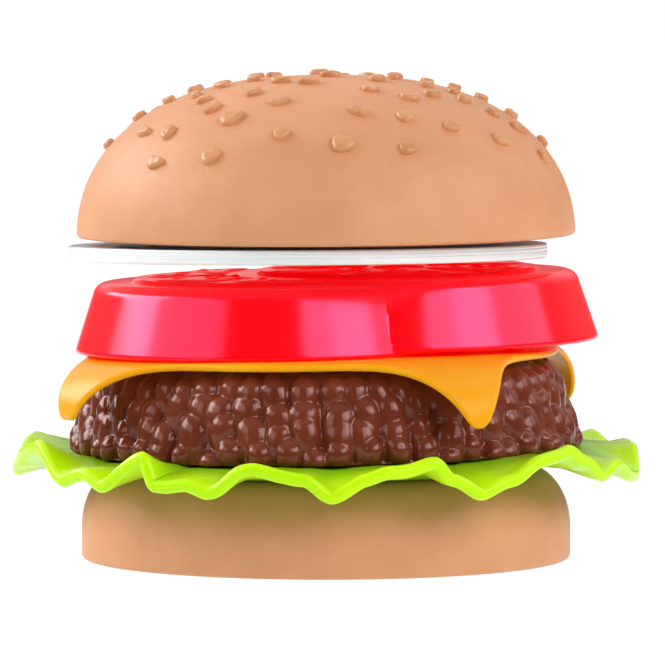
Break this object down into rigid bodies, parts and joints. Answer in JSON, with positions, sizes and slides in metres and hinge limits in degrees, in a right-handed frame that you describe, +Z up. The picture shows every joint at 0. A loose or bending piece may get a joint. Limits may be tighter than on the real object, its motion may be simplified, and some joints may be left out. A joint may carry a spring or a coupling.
{
  "type": "toy hamburger",
  "caption": "Stacking toy hamburger: hollow bun halves, patty and tomato closed by plates, with a ruffled lettuce leaf, draped cheese sheet and onion disc between them.",
  "frame": {"origin": "centre of the bottom bun's flat underside, where the toy rests", "axes": "+Z up through the stack, +X to the right as seen from the front, -Y towards the front"},
  "size_m": [0.1256, 0.1256, 0.0973],
  "materials": {
    "bun": "fine matt texture, tan",
    "lettuce": "glossy, lime green",
    "patty": "glossy, chocolate brown",
    "cheese": "satin gloss, orange yellow",
    "tomato": "high gloss, red",
    "onion": "glossy, white"
  },
  "bodies": {
    "bottom_bun": {"bottom_bun_shell": "bun", "bottom_bun_base": "bun"},
    "lettuce": {"lettuce": "lettuce"},
    "patty": {"patty_shell": "patty", "patty_base": "patty"},
    "cheese": {"cheese": "cheese"},
    "tomato": {"tomato_shell": "tomato", "tomato_base": "tomato"},
    "onion": {"onion": "onion"},
    "top_bun": {"top_bun_shell": "bun", "top_bun_base": "bun"}
  },
  "joints": [
    {"name": "lettuce_lift", "type": "slide", "parent": "bottom_bun", "child": "lettuce", "axis": [0, 0, 1], "range_m": [0, 0.04]},
    {"name": "patty_lift", "type": "slide", "parent": "lettuce", "child": "patty", "axis": [0, 0, 1], "range_m": [0, 0.04]},
    {"name": "cheese_lift", "type": "slide", "parent": "patty", "child": "cheese", "axis": [0, 0, 1], "range_m": [0, 0.04]},
    {"name": "tomato_lift", "type": "slide", "parent": "cheese", "child": "tomato", "axis": [0, 0, 1], "range_m": [0, 0.04]},
    {"name": "onion_lift", "type": "slide", "parent": "tomato", "child": "onion", "axis": [0, 0, 1], "range_m": [0, 0.04]},
    {"name": "top_bun_lift", "type": "slide", "parent": "onion", "child": "top_bun", "axis": [0, 0, 1], "range_m": [0, 0.05]}
  ]
}
